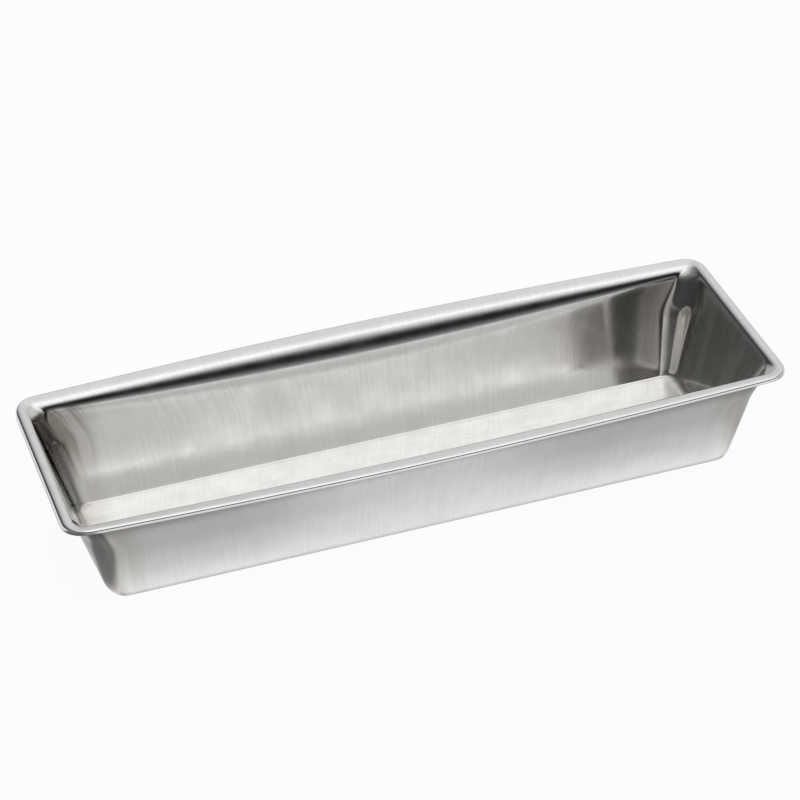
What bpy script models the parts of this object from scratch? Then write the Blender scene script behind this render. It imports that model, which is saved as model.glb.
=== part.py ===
"""Mini loaf tart mould, drawn in one piece from bright tinplate.

The mould is a long, narrow trough with a flat floor, tapered walls and a flange
that flares up and outwards to a turned-down edge. It stands on its floor, with
the origin under the middle of it, +X along its length and +Z up.
"""

import math

import bmesh
import bpy

# Driving dimensions, in metres. Radii are on the upper and inner face of the sheet.
SHEET = 0.0003
RIM_LENGTH = 0.1000
RIM_WIDTH = 0.0318
RIM_HEIGHT = 0.0160

# The long sides at their ends.
SIDE_TAPER = math.radians(12.0)
SIDE_FILLET = 0.0005
SIDE_EASE = 0.0020
SIDE_BEND = 0.00145
SIDE_FLANGE = 0.0011
SIDE_FLARE = math.radians(13.0)

# The long sides half way along, where they lean out more and the rim bows outwards.
MIDDLE_TAPER = math.radians(12.9)
MIDDLE_EASE = 0.0090
MIDDLE_BEND = 0.0015
MIDDLE_FLANGE = 0.0015
MIDDLE_FLARE = math.radians(6.0)
BOW_SPREAD = 1.75

# The two end walls.
END_TAPER = math.radians(16.0)
END_FILLET = 0.0016
END_EASE = 0.0013
END_BEND = 0.00095
END_FLANGE = 0.00095
END_FLARE = math.radians(9.0)

EASE_TURN = math.radians(25.0)
EDGE_ROLL = 0.0004
WALL_BELLY = 0.0002

# Corner radii in plan, from the floor to the turned edge.
FLOOR_CORNER = 0.0018
WALL_FOOT_CORNER = 0.0024
WALL_TOP_CORNER = 0.0045
FLANGE_CORNER = 0.0020
RIM_CORNER = 0.0034

# Steps along each stretch of the section, and round the outline.
FILLET_STEPS = 4
WALL_STEPS = 6
EASE_STEPS = 3
BEND_STEPS = 5
FLANGE_STEPS = 1
EDGE_STEPS = 4
CORNER_STEPS = 6
SIDE_STEPS = 16
END_STEPS = 3

SMOOTH_ANGLE = math.radians(40)

# Bright tinplate.
TIN_COLOUR = (0.74, 0.74, 0.72, 1.0)
TIN_METALLIC = 1.0
TIN_ROUGHNESS = 0.22


def arc(centre, radius, start, end, steps):
    """Points on an arc in the section plane, as pairs of outward and upward distance."""
    points = []
    for step in range(steps + 1):
        angle = start + (end - start) * step / steps
        points.append((centre[0] + radius * math.cos(angle), centre[1] + radius * math.sin(angle)))
    return points


def between(start, end, steps):
    """Points strictly between two points of the section."""
    return [
        (start[0] + (end[0] - start[0]) * step / steps, start[1] + (end[1] - start[1]) * step / steps)
        for step in range(1, steps)
    ]


def section(rim_half, taper, fillet, ease, bend, flange, flare):
    """Half section of one wall, from the edge of the flat floor to the turned edge.

    It is worked out from the rim down, each stretch tangent to the next: the edge roll, the
    flange, the bend, the slower bend that eases into the wall, the wall and the fillet.
    """
    up = math.pi / 2
    roll_centre = (rim_half - EDGE_ROLL, RIM_HEIGHT - EDGE_ROLL)
    roll = arc(roll_centre, EDGE_ROLL, up + flare, 0.0, EDGE_STEPS)

    flange_end = roll[0]
    straight = flange - EDGE_ROLL
    flange_start = (
        flange_end[0] - straight * math.cos(flare),
        flange_end[1] - straight * math.sin(flare),
    )
    bend_centre = (
        flange_start[0] + bend * math.sin(flare),
        flange_start[1] - bend * math.cos(flare),
    )
    knee = math.pi - taper - EASE_TURN
    lip = arc(bend_centre, bend, knee, up + flare, BEND_STEPS)
    ease_centre = (lip[0][0] - ease * math.cos(knee), lip[0][1] - ease * math.sin(knee))
    eased = arc(ease_centre, ease, math.pi - taper, knee, EASE_STEPS)

    wall_top = eased[0]
    wall_drop = wall_top[1] - SHEET - fillet * (1.0 - math.sin(taper))
    wall_foot = (wall_top[0] - wall_drop * math.tan(taper), wall_top[1] - wall_drop)
    fillet_centre = (wall_foot[0] - fillet * math.cos(taper), SHEET + fillet)
    foot = arc(fillet_centre, fillet, -up, -taper, FILLET_STEPS)

    wall = between(wall_foot, wall_top, WALL_STEPS)
    flat = between(flange_start, flange_end, FLANGE_STEPS)
    return foot + wall + eased[:-1] + lip + flat + roll


def corner_radii():
    """The corner radius at each point of the section, changing evenly along its stretches."""
    stretches = (
        (FILLET_STEPS, FLOOR_CORNER, WALL_FOOT_CORNER),
        (WALL_STEPS, WALL_FOOT_CORNER, WALL_TOP_CORNER),
        (EASE_STEPS + BEND_STEPS, WALL_TOP_CORNER, FLANGE_CORNER),
        (FLANGE_STEPS, FLANGE_CORNER, RIM_CORNER),
        (EDGE_STEPS, RIM_CORNER, RIM_CORNER),
    )
    radii = [FLOOR_CORNER]
    for steps, start, end in stretches:
        radii += [start + (end - start) * step / steps for step in range(1, steps + 1)]
    return radii


def bowed(point, side_share, end_height, side_point, middle_point):
    """The point, moved outwards by the bow of the long sides and the belly of their walls."""
    x, y = point
    half_width, side_height = side_point
    share = 1.0 - abs(2.0 * x / RIM_LENGTH) ** BOW_SPREAD
    side_height += (middle_point[1] - side_height) * share
    z = end_height + (side_height - end_height) * side_share

    rise = (z - SHEET) / (RIM_HEIGHT - SHEET)
    bow = (middle_point[0] - half_width) * share
    belly = WALL_BELLY * 4.0 * rise * (1.0 - rise)
    return (x, y + (bow + belly) * y / half_width, z)


def outline(end_point, side_point, middle_point, radius):
    """One closed loop round the mould, counter-clockwise from above."""
    half_length, end_height = end_point
    half_width = side_point[0]
    loop = []
    quarters = ((1, 1, 0.0), (-1, 1, 0.5), (-1, -1, 1.0), (1, -1, 1.5))
    for quarter, (along, across, turn) in enumerate(quarters):
        for step in range(CORNER_STEPS + 1):
            angle = math.pi * (turn + 0.5 * step / CORNER_STEPS)
            corner = (
                along * (half_length - radius) + radius * math.cos(angle),
                across * (half_width - radius) + radius * math.sin(angle),
            )
            loop.append((corner, math.sin(angle) ** 2))
        on_side = quarter % 2 == 0
        steps = SIDE_STEPS if on_side else END_STEPS
        straight = half_length - radius if on_side else half_width - radius
        for step in range(1, steps):
            travel = straight * (1.0 - 2.0 * step / steps)
            if on_side:
                loop.append(((across * travel, across * half_width), 1.0))
            else:
                loop.append(((along * half_length, across * travel), 0.0))
    return [bowed(point, share, end_height, side_point, middle_point) for point, share in loop]


def mould_shell(collection):
    """The mould: a loft of outlines from floor to edge, with the sheet's thickness outside."""
    ends = section(
        RIM_LENGTH / 2, END_TAPER, END_FILLET, END_EASE, END_BEND, END_FLANGE, END_FLARE
    )
    sides = section(
        RIM_WIDTH / 2, SIDE_TAPER, SIDE_FILLET, SIDE_EASE, SIDE_BEND, SIDE_FLANGE, SIDE_FLARE
    )
    middle = section(
        RIM_WIDTH / 2, MIDDLE_TAPER, SIDE_FILLET, MIDDLE_EASE, MIDDLE_BEND, MIDDLE_FLANGE,
        MIDDLE_FLARE,
    )
    # The floor's edge is straight, so the middle section starts where the side's does.
    shift = sides[0][0] - middle[0][0]
    middle = [(out + shift, up) for out, up in middle]

    mesh_data = bmesh.new()
    loops = []
    for end_point, side_point, middle_point, radius in zip(ends, sides, middle, corner_radii()):
        loop = outline(end_point, side_point, middle_point, radius)
        loops.append([mesh_data.verts.new(point) for point in loop])

    mesh_data.faces.new(loops[0])
    count = len(loops[0])
    for lower, upper in zip(loops, loops[1:]):
        for here in range(count):
            after = (here + 1) % count
            mesh_data.faces.new((lower[here], upper[here], upper[after], lower[after]))

    mesh = bpy.data.meshes.new("mould_shell")
    mesh_data.to_mesh(mesh)
    mesh_data.free()
    mesh.shade_smooth()
    mesh.set_sharp_from_angle(angle=SMOOTH_ANGLE)

    shell = bpy.data.objects.new("mould_shell", mesh)
    collection.objects.link(shell)
    shell.data.materials.append(tinplate())

    wall = shell.modifiers.new("sheet_thickness", "SOLIDIFY")
    wall.thickness = SHEET
    wall.offset = -1.0
    wall.use_even_offset = True
    return shell


def tinplate():
    """Bright tinned steel sheet."""
    material = bpy.data.materials.new("tinplate")
    material.use_nodes = True
    surface = material.node_tree.nodes["Principled BSDF"]
    surface.inputs["Base Color"].default_value = TIN_COLOUR
    surface.inputs["Metallic"].default_value = TIN_METALLIC
    surface.inputs["Roughness"].default_value = TIN_ROUGHNESS
    return material


def main():
    for old in list(bpy.data.objects):
        bpy.data.objects.remove(old, do_unlink=True)
    collection = bpy.data.collections.new("mini_loaf_mould")
    bpy.context.scene.collection.children.link(collection)
    mould_shell(collection)


main()
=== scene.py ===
"""The looks of a mini loaf tart mould: one long, narrow trough drawn from bright tinplate.

The mould is a single sheet, so it is a single piece here: a floor, tapered walls that bow
outwards half way along, drawn corners, and a flange that ends in a turned-down edge. It
stands on its floor at the origin, +X along its length and +Z up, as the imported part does.
"""

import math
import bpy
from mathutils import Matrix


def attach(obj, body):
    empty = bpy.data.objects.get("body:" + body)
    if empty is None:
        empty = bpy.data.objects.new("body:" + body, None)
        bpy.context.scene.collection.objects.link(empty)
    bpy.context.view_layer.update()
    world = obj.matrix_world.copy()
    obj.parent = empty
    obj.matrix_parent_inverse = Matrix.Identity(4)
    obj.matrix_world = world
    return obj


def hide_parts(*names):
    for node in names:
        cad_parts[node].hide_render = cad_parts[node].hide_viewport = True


bl_info = {
    "name": "Mini loaf tart mould",
    "version": (1, 0, 0),
    "blender": (4, 5, 0),
    "location": "3D Viewport > Sidebar > Mould",
    "description": "Draws a mini loaf tart mould in tinplate, with a plain studio round it",
    "category": "Object",
}

import bmesh
import bpy
from mathutils import Matrix, Vector, noise

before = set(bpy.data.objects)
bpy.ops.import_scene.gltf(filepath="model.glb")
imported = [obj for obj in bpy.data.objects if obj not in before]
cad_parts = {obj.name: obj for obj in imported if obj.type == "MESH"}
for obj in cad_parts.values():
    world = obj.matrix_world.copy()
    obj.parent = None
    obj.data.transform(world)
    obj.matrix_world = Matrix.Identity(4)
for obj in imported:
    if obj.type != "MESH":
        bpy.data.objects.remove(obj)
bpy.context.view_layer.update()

MM = 0.001
SHELL_NAME = "drawn_tinplate_mould"

# Section of the walls, in millimetres and degrees, on the inner face of the sheet: of the
# long sides at their ends and half way along, and of the end walls.
SIDE = dict(taper=12.0, fillet=0.25, ease=2.0, bend=1.45, flange=1.1, flare=13.0, roll=0.4)
MIDDLE = dict(taper=12.9, fillet=0.25, ease=9.0, bend=1.5, flange=1.5, flare=6.0, roll=0.4)
END = dict(taper=16.0, fillet=1.6, ease=1.3, bend=0.95, flange=0.95, flare=9.0, roll=0.75)
# The slower bend takes this much of the turn from the wall to the flange.
EASE_TURN = math.radians(25)
# The turned edge goes on straight down this far, and the long walls belly out this much.
EDGE_DROP = 0.22 * MM
WALL_BELLY = 0.2 * MM

# The press leaves the walls this much out of true by the corners, where the sheet gathers, and
# EVEN_SHARE of it half way along. The share grows with this power of the way to the end.
GATHER = 0.10 * MM
EVEN_SHARE = 0.08
GATHER_POWER = 4
GATHERS_ACROSS, GATHERS_UP = 0.16 / MM, 0.04 / MM

# Painted shade on the outside under the turned edge, where the lip shades the wall: it starts at one height
# and is full at the other.
UNDER_EDGE_SHADE_FROM, UNDER_EDGE_SHADE_FULL = 11.9 * MM, 13.7 * MM

# Baking has browned the inside of the left end's corners: each pair is where it starts and where it
# is full, outwards along and across the mould and up its walls, and then where it ends at the flange.
BROWNED_ALONG = (-38.0 * MM, -43.5 * MM)
BROWNED_ACROSS = (5.0 * MM, 10.0 * MM)
BROWNED_UP = (1.0 * MM, 11.0 * MM)
BROWNED_END = (15.0 * MM, 14.4 * MM)

# Baking has browned both ends, inside and out: it starts at the first distance and is full at the other.
ENDS_FROM, ENDS_FULL = 37 * MM, 45 * MM

# The die irons the floor and the flange: the first pair is where its smooth skin ends above the
# floor, and the second where it begins again below the flange.
OFF_FLOOR = (0.4 * MM, 1.2 * MM)
BELOW_FLANGE = (14.0 * MM, 15.2 * MM)

# Corner radii in plan, from the floor to the turned edge, in millimetres.
CORNERS = dict(floor=1.8, foot=2.4, top=4.2, flange=1.4, rim=3.4)

# Steps along each stretch of the section, and round each outline. The corners start to tighten
# again in the last steps of the wall.
FOOT_STEPS, WALL_STEPS, EASE_STEPS, BEND_STEPS, FLANGE_STEPS, ROLL_STEPS = 4, 10, 4, 7, 2, 4
TIGHTENING_STEPS = 3
CORNER_STEPS, SIDE_STEPS, END_STEPS = 8, 56, 16

# Turns sharper than this stay sharp, as the sheet's cut edge does.
SHARP_TURN = math.radians(50)

# Camera of the photograph: a long lens from the front left, turned a little.
LENS = 135.0
SENSOR = 36.0
NEAR_CLIP = 0.01
CAMERA_AZIMUTH = math.radians(17.5)
CAMERA_HEIGHT = math.radians(35.06)
CAMERA_ROLL = math.radians(-2.08)
CAMERA_DISTANCE = 0.40286
CAMERA_TARGET = Vector((-0.00027, 0.0, 0.01388))

# The table runs far past the frame, and its top lies a hair below the mould's floor.
TABLE_SIZE = 6.0
TABLE_TOP = -0.02 * MM

# The table's light is given out to this far from the mould's long middle line. The mould's foot
# runs this much further out at its ends than at its sides.
TABLE_REACH = 40 * MM
FOOT_AHEAD = 32 * MM

# How bright the table shows in the tin at each share of that reach, beside the mould and off its ends, and
# how far along the mould the one turns into the other. These levels are painted light and shade: a painted
# contact shadow right at the foot, a painted pool of light just beside it, and the rim's painted shadow a
# little further out.
PAINTED_TABLE_BESIDE = (
    (0.25, 0.35), (0.265, 0.5), (0.285, 0.89), (0.36, 0.78), (0.44, 0.67), (0.52, 0.63),
    (0.65, 0.70), (1.0, 0.85),
)
PAINTED_TABLE_BY_ENDS = (
    (0.25, 0.30), (0.265, 0.45), (0.285, 0.90), (0.36, 0.66), (0.44, 0.50), (0.52, 0.46),
    (0.65, 0.56), (1.0, 0.85),
)
SIDES_UNTIL, ENDS_AFTER = 6 * MM, 26 * MM

# The table is dim off the front left corner, a painted shadow on the side away from the light: each pair is
# where the dimming starts and where it is full.
DIM_LEFT = (-43 * MM, -46 * MM)
DIM_FRONT = (-4 * MM, -8 * MM)
DIM_LEVEL = 0.35

# The studio's dark side lies this far round from straight behind the mould, clockwise from above.
# It grows between two cosines of the angle to it, and it is brighter higher up: each stop is the
# sine of a height and the level there.
DARK_SIDE = math.radians(-100)
DARK_SIDE_FROM, DARK_SIDE_FULL = 0.12, 0.42
DARK_SIDE_LEVELS = (
    (0.0, 0.04), (0.26, 0.06), (0.42, 0.12), (0.57, 0.18), (0.71, 0.26), (0.87, 0.6), (1.0, 0.95),
)

# The lights reach less to the sides: this much is left at each share of the way to the right.
SIDEWAYS_LEVELS = (
    (0.2, 0.55), (0.4, 0.86), (0.5, 0.97), (0.58, 1.0), (0.7, 0.96), (0.84, 0.8), (0.9, 0.5),
    (0.95, 0.22),
)


def linear(hex_colour):
    """Linear RGBA of an sRGB hex colour."""
    channels = [int(hex_colour[place:place + 2], 16) / 255 for place in (0, 2, 4)]
    return tuple(c / 12.92 if c <= 0.04045 else ((c + 0.055) / 1.055) ** 2.4 for c in channels) + (1.0,)


def node(tree, kind, inputs=None, **settings):
    """Adds a node with its settings; an input is a value or another node's output socket."""
    added = tree.nodes.new(kind)
    for name, value in settings.items():
        setattr(added, name, value)
    for name, value in (inputs or {}).items():
        if isinstance(value, bpy.types.NodeSocket):
            tree.links.new(value, added.inputs[name])
        else:
            added.inputs[name].default_value = value
    return added


def arc(centre, radius, start, end, steps):
    """Points on an arc in the section plane, as pairs of outward and upward distance."""
    angles = [start + (end - start) * step / steps for step in range(steps + 1)]
    return [(centre[0] + radius * math.cos(a), centre[1] + radius * math.sin(a)) for a in angles]


def between(start, end, steps):
    """Points strictly between two points of the section."""
    shares = [step / steps for step in range(1, steps)]
    return [(start[0] + (end[0] - start[0]) * s, start[1] + (end[1] - start[1]) * s) for s in shares]


def section(half, height, sheet, taper, fillet, ease, bend, flange, flare, roll):
    """Half section of one wall, from the edge of the flat floor to the turned edge.

    It is worked out from the rim down: roll, flange, bend, a slower bend that eases into
    the wall, the tapered wall and the fillet, each tangent to the next.
    """
    up = math.pi / 2
    taper, flare = math.radians(taper), math.radians(flare)
    fillet, bend, ease, flange, roll = (size * MM for size in (fillet, bend, ease, flange, roll))

    edge = arc((half - roll, height - roll), roll, up + flare, 0.0, ROLL_STEPS)
    edge.append((half, edge[-1][1] - EDGE_DROP))
    straight = flange - roll
    start = (edge[0][0] - straight * math.cos(flare), edge[0][1] - straight * math.sin(flare))

    knee = math.pi - taper - EASE_TURN
    bend_centre = (start[0] + bend * math.sin(flare), start[1] - bend * math.cos(flare))
    lip = arc(bend_centre, bend, knee, up + flare, BEND_STEPS)
    ease_centre = (lip[0][0] - ease * math.cos(knee), lip[0][1] - ease * math.sin(knee))
    eased = arc(ease_centre, ease, math.pi - taper, knee, EASE_STEPS)

    top = eased[0]
    drop = top[1] - sheet - fillet * (1.0 - math.sin(taper))
    foot_top = (top[0] - drop * math.tan(taper), top[1] - drop)
    fillet_centre = (foot_top[0] - fillet * math.cos(taper), sheet + fillet)
    foot = arc(fillet_centre, fillet, -up, -taper, FOOT_STEPS)

    wall = between(foot_top, top, WALL_STEPS)
    flat = between(start, edge[0], FLANGE_STEPS)
    return foot + wall + eased[:-1] + lip + flat + edge


def corner_radii():
    """The corner radius at each point of the section, changing evenly along its stretches."""
    floor, foot, top, flange, rim = (CORNERS[name] for name in ("floor", "foot", "top", "flange", "rim"))
    stretches = (
        (FOOT_STEPS, floor, foot),
        (WALL_STEPS - TIGHTENING_STEPS, foot, top),
        (TIGHTENING_STEPS + EASE_STEPS, top, flange),
        (BEND_STEPS, flange, flange),
        (FLANGE_STEPS + ROLL_STEPS, flange, rim),
        (1, rim, rim),
    )
    radii = [floor]
    for steps, start, end in stretches:
        radii += [start + (end - start) * step / steps for step in range(1, steps + 1)]
    return [radius * MM for radius in radii]


def outline(end_point, side_point, middle_point, radius, sizes):
    """One closed loop round the mould, counter-clockwise from above."""
    half_length, end_height = end_point
    half_width = side_point[0]
    flat = []
    quarters = ((1, 1, 0.0), (-1, 1, 0.5), (-1, -1, 1.0), (1, -1, 1.5))
    for quarter, (along, across, turn) in enumerate(quarters):
        for step in range(CORNER_STEPS + 1):
            angle = math.pi * (turn + 0.5 * step / CORNER_STEPS)
            x = along * (half_length - radius) + radius * math.cos(angle)
            y = across * (half_width - radius) + radius * math.sin(angle)
            flat.append((x, y, math.sin(angle) ** 2))
        on_side = quarter % 2 == 0
        steps = SIDE_STEPS if on_side else END_STEPS
        straight = half_length - radius if on_side else half_width - radius
        for step in range(1, steps):
            travel = across * straight * (1.0 - 2.0 * step / steps)
            if on_side:
                flat.append((travel, across * half_width, 1.0))
            else:
                flat.append((along * half_length, travel, 0.0))
    return [bowed(x, y, share, end_height, side_point, middle_point, sizes) for x, y, share in flat]


def bowed(x, y, side_share, end_height, side_point, middle_point, sizes):
    """A point of an outline with its height, moved out by the bow and belly of the long sides.

    side_share is 1 on a long side and 0 on an end, and the gathers push each wall straight out.
    """
    half_width, side_height = side_point
    middle_share = max(0.0, 1.0 - abs(2.0 * x / sizes.rim_length) ** sizes.bow_spread)
    side_height += (middle_point[1] - side_height) * middle_share
    z = end_height + (side_height - end_height) * side_share
    rise = min(1.0, (z - sizes.sheet) / (sizes.rim_height - sizes.sheet))
    bow = (middle_point[0] - half_width) * middle_share
    belly = WALL_BELLY * 4.0 * rise * (1.0 - rise)

    by_corner = abs(2.0 * x / sizes.rim_length) ** GATHER_POWER
    swell = noise.noise(Vector((x * GATHERS_ACROSS, y * GATHERS_ACROSS, z * GATHERS_UP)))
    gather = GATHER * (EVEN_SHARE + (1.0 - EVEN_SHARE) * by_corner) * swell * math.sin(math.pi * rise)
    return Vector((
        x + gather * (1.0 - side_share) * math.copysign(1.0, x),
        y + (bow + belly) * y / half_width + gather * side_share * math.copysign(1.0, y),
        z,
    ))


def outlines(sizes):
    """Every loop of the shell, from the edge of the floor to the turned edge."""
    ends = section(sizes.rim_length / 2, sizes.rim_height, sizes.sheet, **END)
    sides = section(sizes.rim_width / 2, sizes.rim_height, sizes.sheet, **SIDE)
    middle = section(sizes.rim_width / 2, sizes.rim_height, sizes.sheet, **MIDDLE)
    # The floor's edge is straight, so the middle section starts where the side's does.
    shift = sides[0][0] - middle[0][0]
    middle = [(out + shift, up) for out, up in middle]
    stations = zip(ends, sides, middle, corner_radii())
    return [outline(end, side, mid, radius, sizes) for end, side, mid, radius in stations]


def deselect_all():
    """Nothing stays selected: an operator acts on all that is."""
    if bpy.context.object and bpy.context.object.mode == "EDIT":
        bpy.ops.object.mode_set(mode="OBJECT")
    bpy.ops.object.select_all(action="DESELECT")


def edit(piece):
    """The piece's mesh in edit mode, with its tables ready."""
    mesh = bmesh.from_edit_mesh(piece.data)
    mesh.verts.ensure_lookup_table()
    mesh.faces.ensure_lookup_table()
    return mesh


def select_only(piece, verts=(), edges=()):
    """Selects these and nothing else, as clicks with an empty selection would."""
    mesh = edit(piece)
    for group in (mesh.faces, mesh.edges, mesh.verts):
        for item in group:
            item.select = False
    for item in list(verts) + list(edges):
        item.select_set(True)
    bmesh.update_edit_mesh(piece.data)
    return mesh


def draw_shell(sizes):
    """A circle is laid on the floor's outline and filled with a grid, then its edge is
    extruded ring by ring up the walls and over the flange."""
    loops = outlines(sizes)
    count = len(loops[0])

    deselect_all()
    bpy.ops.mesh.primitive_circle_add(vertices=count, radius=sizes.rim_width / 2, fill_type="NOTHING")
    shell = bpy.context.object
    shell.name = shell.data.name = SHELL_NAME
    bpy.ops.object.mode_set(mode="EDIT")
    mesh = edit(shell)
    for vert, point in zip(mesh.verts, loops[0]):
        vert.co = point

    half_corner = CORNER_STEPS // 2
    mesh = select_only(shell, mesh.verts, mesh.edges)
    mesh.select_history.clear()
    mesh.select_history.add(mesh.verts[half_corner])
    bmesh.update_edit_mesh(shell.data)
    bpy.ops.mesh.fill_grid(span=SIDE_STEPS + 2 * half_corner, offset=0)

    ring = list(range(count))
    for loop in loops[1:]:
        mesh = edit(shell)
        rim = [mesh.verts[index] for index in ring]
        rim_edges = [edge for edge in mesh.edges if edge.is_boundary]
        select_only(shell, rim, rim_edges)
        bpy.ops.mesh.extrude_edges_move()
        mesh = edit(shell)
        place = {index: step for step, index in enumerate(ring)}
        new_ring = [0] * count
        for vert in mesh.verts:
            if vert.select:
                neighbours = [edge.other_vert(vert) for edge in vert.link_edges]
                step = place[next(other.index for other in neighbours if not other.select)]
                new_ring[step] = vert.index
                vert.co = loop[step]
        bmesh.update_edit_mesh(shell.data)
        ring = new_ring

    bpy.ops.mesh.select_all(action="SELECT")
    bpy.ops.mesh.normals_make_consistent(inside=False)
    if sum(face.normal.z * face.calc_area() for face in edit(shell).faces) < 0:
        bpy.ops.mesh.flip_normals()
    bpy.ops.object.mode_set(mode="OBJECT")
    return shell, loops


def lay_draw_marks(shell, loops):
    """A UV map in millimetres: across it runs round the mould, up it runs from floor to rim.

    The draw marks follow it. On the floor they run along the mould, as the sheet was rolled.
    """
    count = len(loops[0])
    middle = loops[len(loops) // 2]
    around, up = [0.0], [0.0]
    for here in range(count):
        around.append(around[-1] + (middle[(here + 1) % count] - middle[here]).length)
    # The way up is measured part way along a long side, clear of the corners.
    on_side = count // 5
    for lower, upper in zip(loops, loops[1:]):
        up.append(up[-1] + (upper[on_side] - lower[on_side]).length)

    floor_count = (SIDE_STEPS + CORNER_STEPS - 1) * (END_STEPS + CORNER_STEPS - 1)
    layer = shell.data.uv_layers.new(name="draw_marks")
    for face in shell.data.polygons:
        verts = list(face.vertices)
        on_floor = all(index < count + floor_count for index in verts)
        columns = [(i if i < count else i - floor_count) % count for i in verts]
        wraps = 0 in columns and count - 1 in columns
        for corner, index, column in zip(face.loop_indices, verts, columns):
            if on_floor:
                place = shell.data.vertices[index].co
                layer.data[corner].uv = (place.y / MM, place.x / MM)
            else:
                row = 0 if index < count else (index - floor_count) // count
                step = count if wraps and column == 0 else column
                layer.data[corner].uv = (around[step] / MM, up[row] / MM)


def thicken(shell, sizes):
    """One subdivision rounds every turn, and the sheet gets its thickness on the outside."""
    deselect_all()
    bpy.context.view_layer.objects.active = shell
    shell.select_set(True)
    rounded = shell.modifiers.new("rounded", "SUBSURF")
    rounded.levels = rounded.render_levels = 1
    bpy.ops.object.modifier_apply(modifier=rounded.name)
    wall = shell.modifiers.new("sheet", "SOLIDIFY")
    wall.thickness = sizes.sheet
    wall.offset = -1.0
    wall.use_even_offset = True
    bpy.ops.object.modifier_apply(modifier=wall.name)
    bpy.ops.object.shade_smooth_by_angle(angle=SHARP_TURN)
    bpy.ops.object.transform_apply(location=True, rotation=True, scale=True)


def way_share(value, start, end):
    """How far value is on the way from start to end, from 0 to 1."""
    return min(1.0, max(0.0, (value - start) / (end - start)))


def eased_share(value, start, end):
    """The same share, with the way's two ends smoothed."""
    share = way_share(value, start, end)
    return share * share * (3.0 - 2.0 * share)


def mark_shade_and_browning(shell):
    """How much painted shade each point gets under the turned edge, and how browned it is inside in the
    corners.

    The outside is the faces that look down and the inside those that look up: 0 is none, 1 is full.
    """
    under_edge_shade = shell.data.attributes.new("under_edge_shade", "FLOAT", "POINT")
    brown = shell.data.attributes.new("brown", "FLOAT", "POINT")
    normals = [normal.vector.z for normal in shell.data.vertex_normals]
    for index, (vert, upward) in enumerate(zip(shell.data.vertices, normals)):
        x, y, z = vert.co
        if upward < 0.0:
            # Painted shade under the turned edge, on the outside.
            under_edge_shade.data[index].value = way_share(z, UNDER_EDGE_SHADE_FROM, UNDER_EDGE_SHADE_FULL)
        else:
            in_corner = eased_share(x, *BROWNED_ALONG) * eased_share(abs(y), *BROWNED_ACROSS)
            on_wall = eased_share(z, *BROWNED_UP) * eased_share(z, *BROWNED_END)
            brown.data[index].value = in_corner * on_wall


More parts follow.
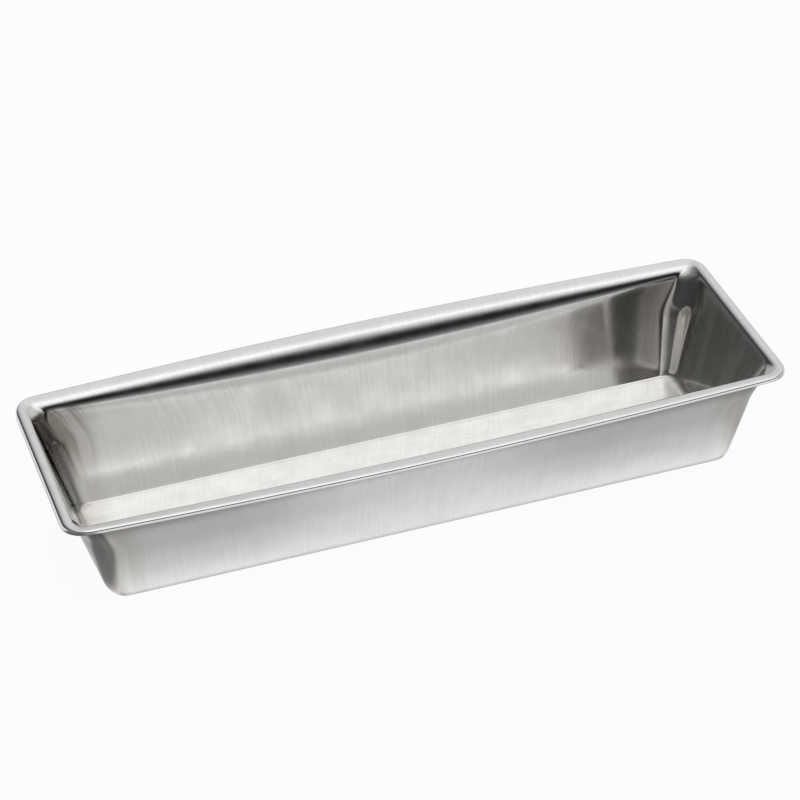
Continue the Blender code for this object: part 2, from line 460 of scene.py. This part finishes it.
def bright_tinplate(looks):
    """Bright tinplate, drawn: hot-tinned steel with a near-mirror skin.

    The drawing die leaves fine marks that run from floor to rim and fray the edges of what
    the skin reflects, and the tin's own bloom clouds it in patches. Baking browns its ends.
    """
    material = bpy.data.materials.new("bright_tinplate_drawn")
    material.use_nodes = True
    tree = material.node_tree
    surface = tree.nodes["Principled BSDF"]
    marks = node(tree, "ShaderNodeUVMap", uv_map="draw_marks")
    place = node(tree, "ShaderNodeTexCoord")

    def streaks(across, along, detail):
        """Noise drawn out along the marks: across and along are its turns per millimetre."""
        drawn = node(tree, "ShaderNodeVectorMath", {0: marks.outputs["UV"], 1: (across, along, 1.0)},
                     operation="MULTIPLY")
        return node(tree, "ShaderNodeTexNoise", {"Vector": drawn.outputs[0], "Scale": 1.0,
                    "Detail": detail, "Roughness": 0.6}, noise_dimensions="2D").outputs["Fac"]

    # A mark is about 0.4 mm wide and 9 mm long: the real ones are finer, and would not show.
    # The broad waves beside them are about 2 mm wide.
    marked = streaks(2.4, 0.11, 3.0)
    broad = streaks(0.55, 0.07, 2.0)
    # The bloom clouds patches about 3 mm across.
    bloom = node(tree, "ShaderNodeTexNoise", {"Vector": place.outputs["Object"], "Scale": 300.0,
                 "Detail": 3.0, "Roughness": 0.55}).outputs["Fac"]

    # The bloom and the marks together dull the tin a little.
    together = node(tree, "ShaderNodeMath", {0: marked, 1: bloom}, operation="ADD")
    dull = node(tree, "ShaderNodeMapRange", {"Value": together.outputs[0], "From Min": 0.8,
                "From Max": 1.25, "To Min": 0.0, "To Max": 1.0})
    tone = node(tree, "ShaderNodeMix", {"Factor": dull.outputs[0], 6: looks.tin_colour,
                7: looks.bloom_colour}, data_type="RGBA")
    # Baking has browned the ends in upright streaks about 3 mm across.
    axes = node(tree, "ShaderNodeSeparateXYZ", {0: place.outputs["Object"]})
    out = node(tree, "ShaderNodeMath", {0: axes.outputs["X"]}, operation="ABSOLUTE")
    by_end = node(tree, "ShaderNodeMapRange", {"Value": out.outputs[0], "From Min": ENDS_FROM,
                  "From Max": ENDS_FULL}, interpolation_type="SMOOTHSTEP")
    patches = node(tree, "ShaderNodeMapRange", {"Value": streaks(0.33, 0.06, 2.0), "From Min": 0.36,
                   "From Max": 0.62})
    below_flange = node(tree, "ShaderNodeMapRange", {"Value": axes.outputs["Z"],
                        "From Min": BELOW_FLANGE[0], "From Max": BELOW_FLANGE[1], "To Min": 1.0,
                        "To Max": 0.1})
    ends = node(tree, "ShaderNodeMath", {0: by_end.outputs[0], 1: below_flange.outputs[0]},
                operation="MULTIPLY")
    browned = node(tree, "ShaderNodeMath", {0: ends.outputs[0], 1: patches.outputs[0]},
                   operation="MULTIPLY")
    brown = node(tree, "ShaderNodeMix", {"Factor": browned.outputs[0], 6: tone.outputs[2],
                 7: looks.browned_colour}, data_type="RGBA")
    # The corners of the left end are browned most, in streaks about 1 mm across.
    corners = node(tree, "ShaderNodeAttribute", attribute_name="brown")
    folds = node(tree, "ShaderNodeMapRange", {"Value": streaks(0.8, 0.05, 2.0), "From Min": 0.38,
                 "From Max": 0.6, "To Min": 0.35, "To Max": 1.0})
    baked = node(tree, "ShaderNodeMath", {0: corners.outputs["Fac"], 1: folds.outputs[0]},
                 operation="MULTIPLY")
    corner = node(tree, "ShaderNodeMix", {"Factor": baked.outputs[0], 6: brown.outputs[2],
                  7: looks.corner_colour}, data_type="RGBA")
    # Painted shade on the outside under the turned edge, where the lip shades the wall.
    under_edge_shade = node(tree, "ShaderNodeAttribute", attribute_name="under_edge_shade")
    under_edge_shaded = node(tree, "ShaderNodeMix", {"Factor": under_edge_shade.outputs["Fac"], 6: corner.outputs[2],
                   7: looks.under_edge_shade_colour}, data_type="RGBA")
    tree.links.new(under_edge_shaded.outputs[2], surface.inputs["Base Color"])

    shine = node(tree, "ShaderNodeMapRange", {"Value": bloom, "From Min": 0.35,
                 "From Max": 0.7, "To Min": looks.roughness - 0.02, "To Max": looks.roughness + 0.05})
    tree.links.new(shine.outputs[0], surface.inputs["Roughness"])

    # The die irons the floor and the flange smoother than the walls, and the marks fade out
    # towards the ends.
    off_floor = node(tree, "ShaderNodeMapRange", {"Value": axes.outputs["Z"], "From Min": OFF_FLOOR[0],
                     "From Max": OFF_FLOOR[1], "To Min": 0.1, "To Max": 1.0})
    off_flange = node(tree, "ShaderNodeMapRange", {"Value": axes.outputs["Z"],
                      "From Min": BELOW_FLANGE[0], "From Max": BELOW_FLANGE[1], "To Min": 1.0,
                      "To Max": 0.2})
    sides = node(tree, "ShaderNodeMath", {0: off_floor.outputs[0], 1: off_flange.outputs[0]},
                 operation="MULTIPLY")
    off_ends = node(tree, "ShaderNodeMapRange", {"Value": by_end.outputs[0], "To Min": 1.0, "To Max": 0.0})
    drawn = node(tree, "ShaderNodeMath", {0: sides.outputs[0], 1: off_ends.outputs[0]},
                 operation="MULTIPLY")
    wave = node(tree, "ShaderNodeBump", {"Height": broad, "Strength": drawn.outputs[0],
                "Distance": looks.wave_depth})
    relief = node(tree, "ShaderNodeBump", {"Height": marked, "Strength": drawn.outputs[0],
                  "Distance": looks.mark_depth, "Normal": wave.outputs["Normal"]})
    tree.links.new(relief.outputs["Normal"], surface.inputs["Normal"])
    surface.inputs["Metallic"].default_value = 1.0
    return material


def levels(tree, value, stops):
    """A grey ramp: each stop is a share of the way, and how bright it is there."""
    grey = node(tree, "ShaderNodeValToRGB", {"Fac": value})
    elements = grey.color_ramp.elements
    elements.remove(elements[1])
    for number, (place, level) in enumerate(stops):
        stop = elements[0] if number == 0 else elements.new(place)
        stop.position = place
        stop.color = (level, level, level, 1.0)
    return grey.outputs["Color"]


def studio_world(light):
    """A pale studio: a broad soft light overhead, a white wall behind, and a dark room on the
    camera's side and to the left, which the tinplate shows as its dark bands."""
    world = bpy.data.worlds.new("studio")
    bpy.context.scene.world = world
    world.use_nodes = True
    tree = world.node_tree
    tree.nodes.clear()
    ray = node(tree, "ShaderNodeTexCoord")
    up = (0.0, 0.0, 1.0)
    towards = (-math.sin(CAMERA_AZIMUTH), -math.cos(CAMERA_AZIMUTH), 0.0)
    right = (math.cos(CAMERA_AZIMUTH), -math.sin(CAMERA_AZIMUTH), 0.0)
    left = (math.sin(DARK_SIDE), math.cos(DARK_SIDE), 0.0)

    def along(direction):
        """How much of the ray goes in this direction."""
        product = node(tree, "ShaderNodeVectorMath", {0: ray.outputs["Generated"], 1: direction},
                       operation="DOT_PRODUCT")
        return product.outputs["Value"]

    # Round the mould over the top, from the camera's horizon to the back.
    turn = node(tree, "ShaderNodeMath", {0: along(up), 1: along(towards)}, operation="ARCTAN2")
    share = node(tree, "ShaderNodeMath", {0: turn.outputs[0], 1: math.pi}, operation="DIVIDE")
    over = levels(tree, share.outputs[0], [(angle / 180, level) for angle, level in light_levels(light)])
    low_left = levels(tree, along(up), DARK_SIDE_LEVELS)
    dark_side = node(tree, "ShaderNodeMapRange", {"Value": along(left), "From Min": DARK_SIDE_FROM,
                     "From Max": DARK_SIDE_FULL}, interpolation_type="SMOOTHSTEP")
    sideways = node(tree, "ShaderNodeMapRange", {"Value": along(right), "From Min": -1.0, "From Max": 1.0})
    spread = levels(tree, sideways.outputs[0], SIDEWAYS_LEVELS)
    lit = node(tree, "ShaderNodeMix", {"Factor": 1.0, 6: over, 7: spread}, data_type="RGBA",
               blend_type="MULTIPLY")
    room = node(tree, "ShaderNodeMix", {"Factor": dark_side.outputs[0], 6: lit.outputs[2],
                7: low_left}, data_type="RGBA")
    # The camera itself sees plain white.
    path = node(tree, "ShaderNodeLightPath")
    seen = node(tree, "ShaderNodeMix", {"Factor": path.outputs["Is Camera Ray"], 6: room.outputs[2],
                7: linear("FFFFFF")}, data_type="RGBA")
    background = node(tree, "ShaderNodeBackground", {"Color": seen.outputs[2], "Strength": 1.0})
    node(tree, "ShaderNodeOutputWorld", {"Surface": background.outputs[0]})


def light_levels(light):
    """How bright the studio is at each angle from the camera's horizon, over the top, to the back."""
    return [
        (0, 0.42), (5, 0.38), (8, 0.30), (11, 0.18), (15, 0.08), (19, 0.03), (23, 0.014),
        (27, 0.02), (30, 0.08), (33, 0.32), (36, 0.72), (39, 0.92), (46, 0.88),
        (50, 1.70), (54, 0.92), (60, 1.08), (70, light.overhead), (84, 1.04), (100, 0.92),
        (120, 0.84), (150, 0.76), (180, light.back_wall),
    ]


def white_table():
    """A white table that runs past the frame, at the mould's foot: plain white for the camera, with painted
    shadow and light round the foot where the metal reflects it.
    """
    deselect_all()
    bpy.ops.mesh.primitive_plane_add(size=TABLE_SIZE, location=(0.0, 0.0, TABLE_TOP))
    table = bpy.context.object
    table.name = "table"
    bpy.ops.object.transform_apply(location=True)
    material = bpy.data.materials.new("white_laminate")
    material.use_nodes = True
    tree = material.node_tree
    tree.nodes.clear()
    path = node(tree, "ShaderNodeLightPath")
    matt = node(tree, "ShaderNodeBsdfDiffuse", {"Color": linear("F4F4F4")})
    white = node(tree, "ShaderNodeEmission", {"Color": linear("FFFFFF"), "Strength": 1.0})
    # Plain white for the camera but for a trace of shadow.
    seen = node(tree, "ShaderNodeMath", {0: path.outputs["Is Camera Ray"], 1: 0.95}, operation="MULTIPLY")
    plain = node(tree, "ShaderNodeMixShader", {0: seen.outputs[0], 1: matt.outputs[0], 2: white.outputs[0]})

    # What the metal shows of it is painted light and shade: a painted contact shadow right at the foot, a
    # painted pool of light just beside it, and painted shade further out.
    place = node(tree, "ShaderNodeTexCoord")
    spot = node(tree, "ShaderNodeVectorMath", {0: place.outputs["Object"]}, operation="ABSOLUTE")
    axes = node(tree, "ShaderNodeSeparateXYZ", {0: spot.outputs[0]})
    past_end = node(tree, "ShaderNodeMath", {0: axes.outputs["X"], 1: FOOT_AHEAD}, operation="SUBTRACT")
    apart = node(tree, "ShaderNodeMath", {0: past_end.outputs[0], 1: axes.outputs["Y"]}, operation="MAXIMUM")
    reach = node(tree, "ShaderNodeMath", {0: apart.outputs[0], 1: TABLE_REACH}, operation="DIVIDE")
    beside = levels(tree, reach.outputs[0], PAINTED_TABLE_BESIDE)
    by_ends = levels(tree, reach.outputs[0], PAINTED_TABLE_BY_ENDS)
    endwards = node(tree, "ShaderNodeMapRange", {"Value": axes.outputs["X"], "From Min": SIDES_UNTIL,
                    "From Max": ENDS_AFTER}, interpolation_type="SMOOTHSTEP")
    painted_shade_and_light = node(tree, "ShaderNodeMix", {"Factor": endwards.outputs[0], 6: beside, 7: by_ends},
                data_type="RGBA")
    sides = node(tree, "ShaderNodeSeparateXYZ", {0: place.outputs["Object"]})
    # Painted shadow off the front left corner, where the table is dimmed.
    leftwards = node(tree, "ShaderNodeMapRange", {"Value": sides.outputs["X"], "From Min": DIM_LEFT[0],
                     "From Max": DIM_LEFT[1]}, interpolation_type="SMOOTHSTEP")
    frontwards = node(tree, "ShaderNodeMapRange", {"Value": sides.outputs["Y"], "From Min": DIM_FRONT[0],
                      "From Max": DIM_FRONT[1]}, interpolation_type="SMOOTHSTEP")
    corner = node(tree, "ShaderNodeMath", {0: leftwards.outputs[0], 1: frontwards.outputs[0]},
                  operation="MULTIPLY")
    dimmed = node(tree, "ShaderNodeMapRange", {"Value": corner.outputs[0], "To Min": 1.0,
                  "To Max": DIM_LEVEL})
    painted_table_light = node(tree, "ShaderNodeEmission", {"Color": painted_shade_and_light.outputs[2], "Strength": dimmed.outputs[0]})
    mixed = node(tree, "ShaderNodeMixShader", {0: path.outputs["Is Glossy Ray"], 1: plain.outputs[0],
                 2: painted_table_light.outputs[0]})
    node(tree, "ShaderNodeOutputMaterial", {"Surface": mixed.outputs[0]})
    table.data.materials.append(material)


def photo_camera():
    """The camera at the photograph's angle."""
    camera = bpy.data.cameras.new("camera")
    camera.lens, camera.sensor_width, camera.clip_start = LENS, SENSOR, NEAR_CLIP
    holder = bpy.data.objects.new("camera", camera)
    bpy.context.scene.collection.objects.link(holder)
    back = Vector((
        -math.sin(CAMERA_AZIMUTH) * math.cos(CAMERA_HEIGHT),
        -math.cos(CAMERA_AZIMUTH) * math.cos(CAMERA_HEIGHT),
        math.sin(CAMERA_HEIGHT),
    ))
    turned = back.to_track_quat("Z", "Y").to_matrix().to_4x4() @ Matrix.Rotation(CAMERA_ROLL, 4, "Z")
    holder.matrix_world = Matrix.Translation(CAMERA_TARGET + back * CAMERA_DISTANCE) @ turned
    bpy.context.scene.camera = holder


class MouldSizes(bpy.types.PropertyGroup):
    """Sizes of the mould."""

    rim_length: bpy.props.FloatProperty(
        name="Length over the rim", description="From one turned edge to the other, along the mould",
        default=0.100, min=0.05, max=0.2, unit="LENGTH")
    rim_width: bpy.props.FloatProperty(
        name="Width over the rim", description="Across the mould at its ends, where it isn't bowed",
        default=0.0318, min=0.02, max=0.1, unit="LENGTH")
    rim_height: bpy.props.FloatProperty(
        name="Height", description="From the table to the top of the flange",
        default=0.0160, min=0.008, max=0.05, unit="LENGTH")
    sheet: bpy.props.FloatProperty(
        name="Sheet", description="Thickness of the tinplate",
        default=0.0003, min=0.0001, max=0.001, unit="LENGTH")
    bow_spread: bpy.props.FloatProperty(
        name="Bow spread", description="How flat the bow of the long sides is half way along",
        default=1.75, min=1.0, max=4.0)


class TinplateLooks(bpy.types.PropertyGroup):
    """Looks of the tinplate."""

    tin_colour: bpy.props.FloatVectorProperty(
        name="Tin", description="Colour of the bright tin", subtype="COLOR", size=4,
        default=linear("EEEEED"), min=0.0, max=1.0)
    bloom_colour: bpy.props.FloatVectorProperty(
        name="Bloom", description="Colour of the tin where it is a little dull", subtype="COLOR", size=4,
        default=linear("E8E7E5"), min=0.0, max=1.0)
    browned_colour: bpy.props.FloatVectorProperty(
        name="Browned", description="Colour of the tin where baking has browned it", subtype="COLOR",
        size=4, default=linear("D7D3CD"), min=0.0, max=1.0)
    corner_colour: bpy.props.FloatVectorProperty(
        name="Corners", description="Colour of the tin in the corners, where it is browned most",
        subtype="COLOR", size=4, default=linear("9A968F"), min=0.0, max=1.0)
    # Colour of the painted shade under the turned edge.
    under_edge_shade_colour: bpy.props.FloatVectorProperty(
        name="Painted shade", description="Colour of the tin under the turned edge", subtype="COLOR", size=4,
        default=linear("A8A5A2"), min=0.0, max=1.0)
    roughness: bpy.props.FloatProperty(
        name="Roughness", description="How much the tin blurs what it reflects",
        default=0.10, min=0.05, max=0.5, subtype="FACTOR")
    mark_depth: bpy.props.FloatProperty(
        name="Mark depth", description="Depth of the fine draw marks", default=0.000002, min=0.0,
        max=0.0001, precision=6, unit="LENGTH")
    wave_depth: bpy.props.FloatProperty(
        name="Wave depth", description="Depth of the broad waves beside them", default=0.000003, min=0.0,
        max=0.0005, precision=6, unit="LENGTH")


class StudioLight(bpy.types.PropertyGroup):
    """Levels of the studio round the mould."""

    overhead: bpy.props.FloatProperty(
        name="Overhead", description="Brightness of the soft light overhead", default=1.28, min=0.0, max=2.0)
    back_wall: bpy.props.FloatProperty(
        name="Back wall", description="Brightness of the wall behind", default=0.62, min=0.0, max=2.0)


class MOULD_OT_shell(bpy.types.Operator):
    """Draws the mould's shell from its floor to its turned edge"""

    bl_idname = "mould.shell"
    bl_label = "Drawn shell"

    def execute(self, context):
        sizes = context.scene.mould_sizes
        shell, loops = draw_shell(sizes)
        lay_draw_marks(shell, loops)
        thicken(shell, sizes)
        mark_shade_and_browning(shell)
        shell.data.materials.clear()
        shell.data.materials.append(bright_tinplate(context.scene.tinplate_looks))
        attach(shell, "root")
        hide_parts("mould_shell")
        return {"FINISHED"}


class MOULD_OT_studio(bpy.types.Operator):
    """Sets up the table, the soft light and the camera"""

    bl_idname = "mould.studio"
    bl_label = "Studio"

    def execute(self, context):
        studio_world(context.scene.studio_light)
        white_table()
        photo_camera()
        context.scene.view_settings.view_transform = "Standard"
        return {"FINISHED"}


class MOULD_PT_panel(bpy.types.Panel):
    """Lists the mould's steps and settings"""

    bl_idname = "MOULD_PT_panel"
    bl_label = "Mini loaf tart mould"
    bl_space_type = "VIEW_3D"
    bl_region_type = "UI"
    bl_category = "Mould"

    def draw(self, context):
        scene = context.scene
        for setting, kind in SETTINGS.items():
            box = self.layout.box()
            for name in kind.__annotations__:
                box.prop(getattr(scene, setting), name)
        self.layout.operator(MOULD_OT_shell.bl_idname)
        self.layout.operator(MOULD_OT_studio.bl_idname)


CLASSES = (MouldSizes, TinplateLooks, StudioLight, MOULD_OT_shell, MOULD_OT_studio, MOULD_PT_panel)
SETTINGS = {"mould_sizes": MouldSizes, "tinplate_looks": TinplateLooks, "studio_light": StudioLight}


def register():
    for kind in CLASSES:
        bpy.utils.register_class(kind)
    for name, kind in SETTINGS.items():
        setattr(bpy.types.Scene, name, bpy.props.PointerProperty(type=kind))


def unregister():
    for name in SETTINGS:
        delattr(bpy.types.Scene, name)
    for kind in reversed(CLASSES):
        bpy.utils.unregister_class(kind)


def main():
    register()
    bpy.ops.mould.shell()
    bpy.ops.mould.studio()


if __name__ == "__main__":
    main()
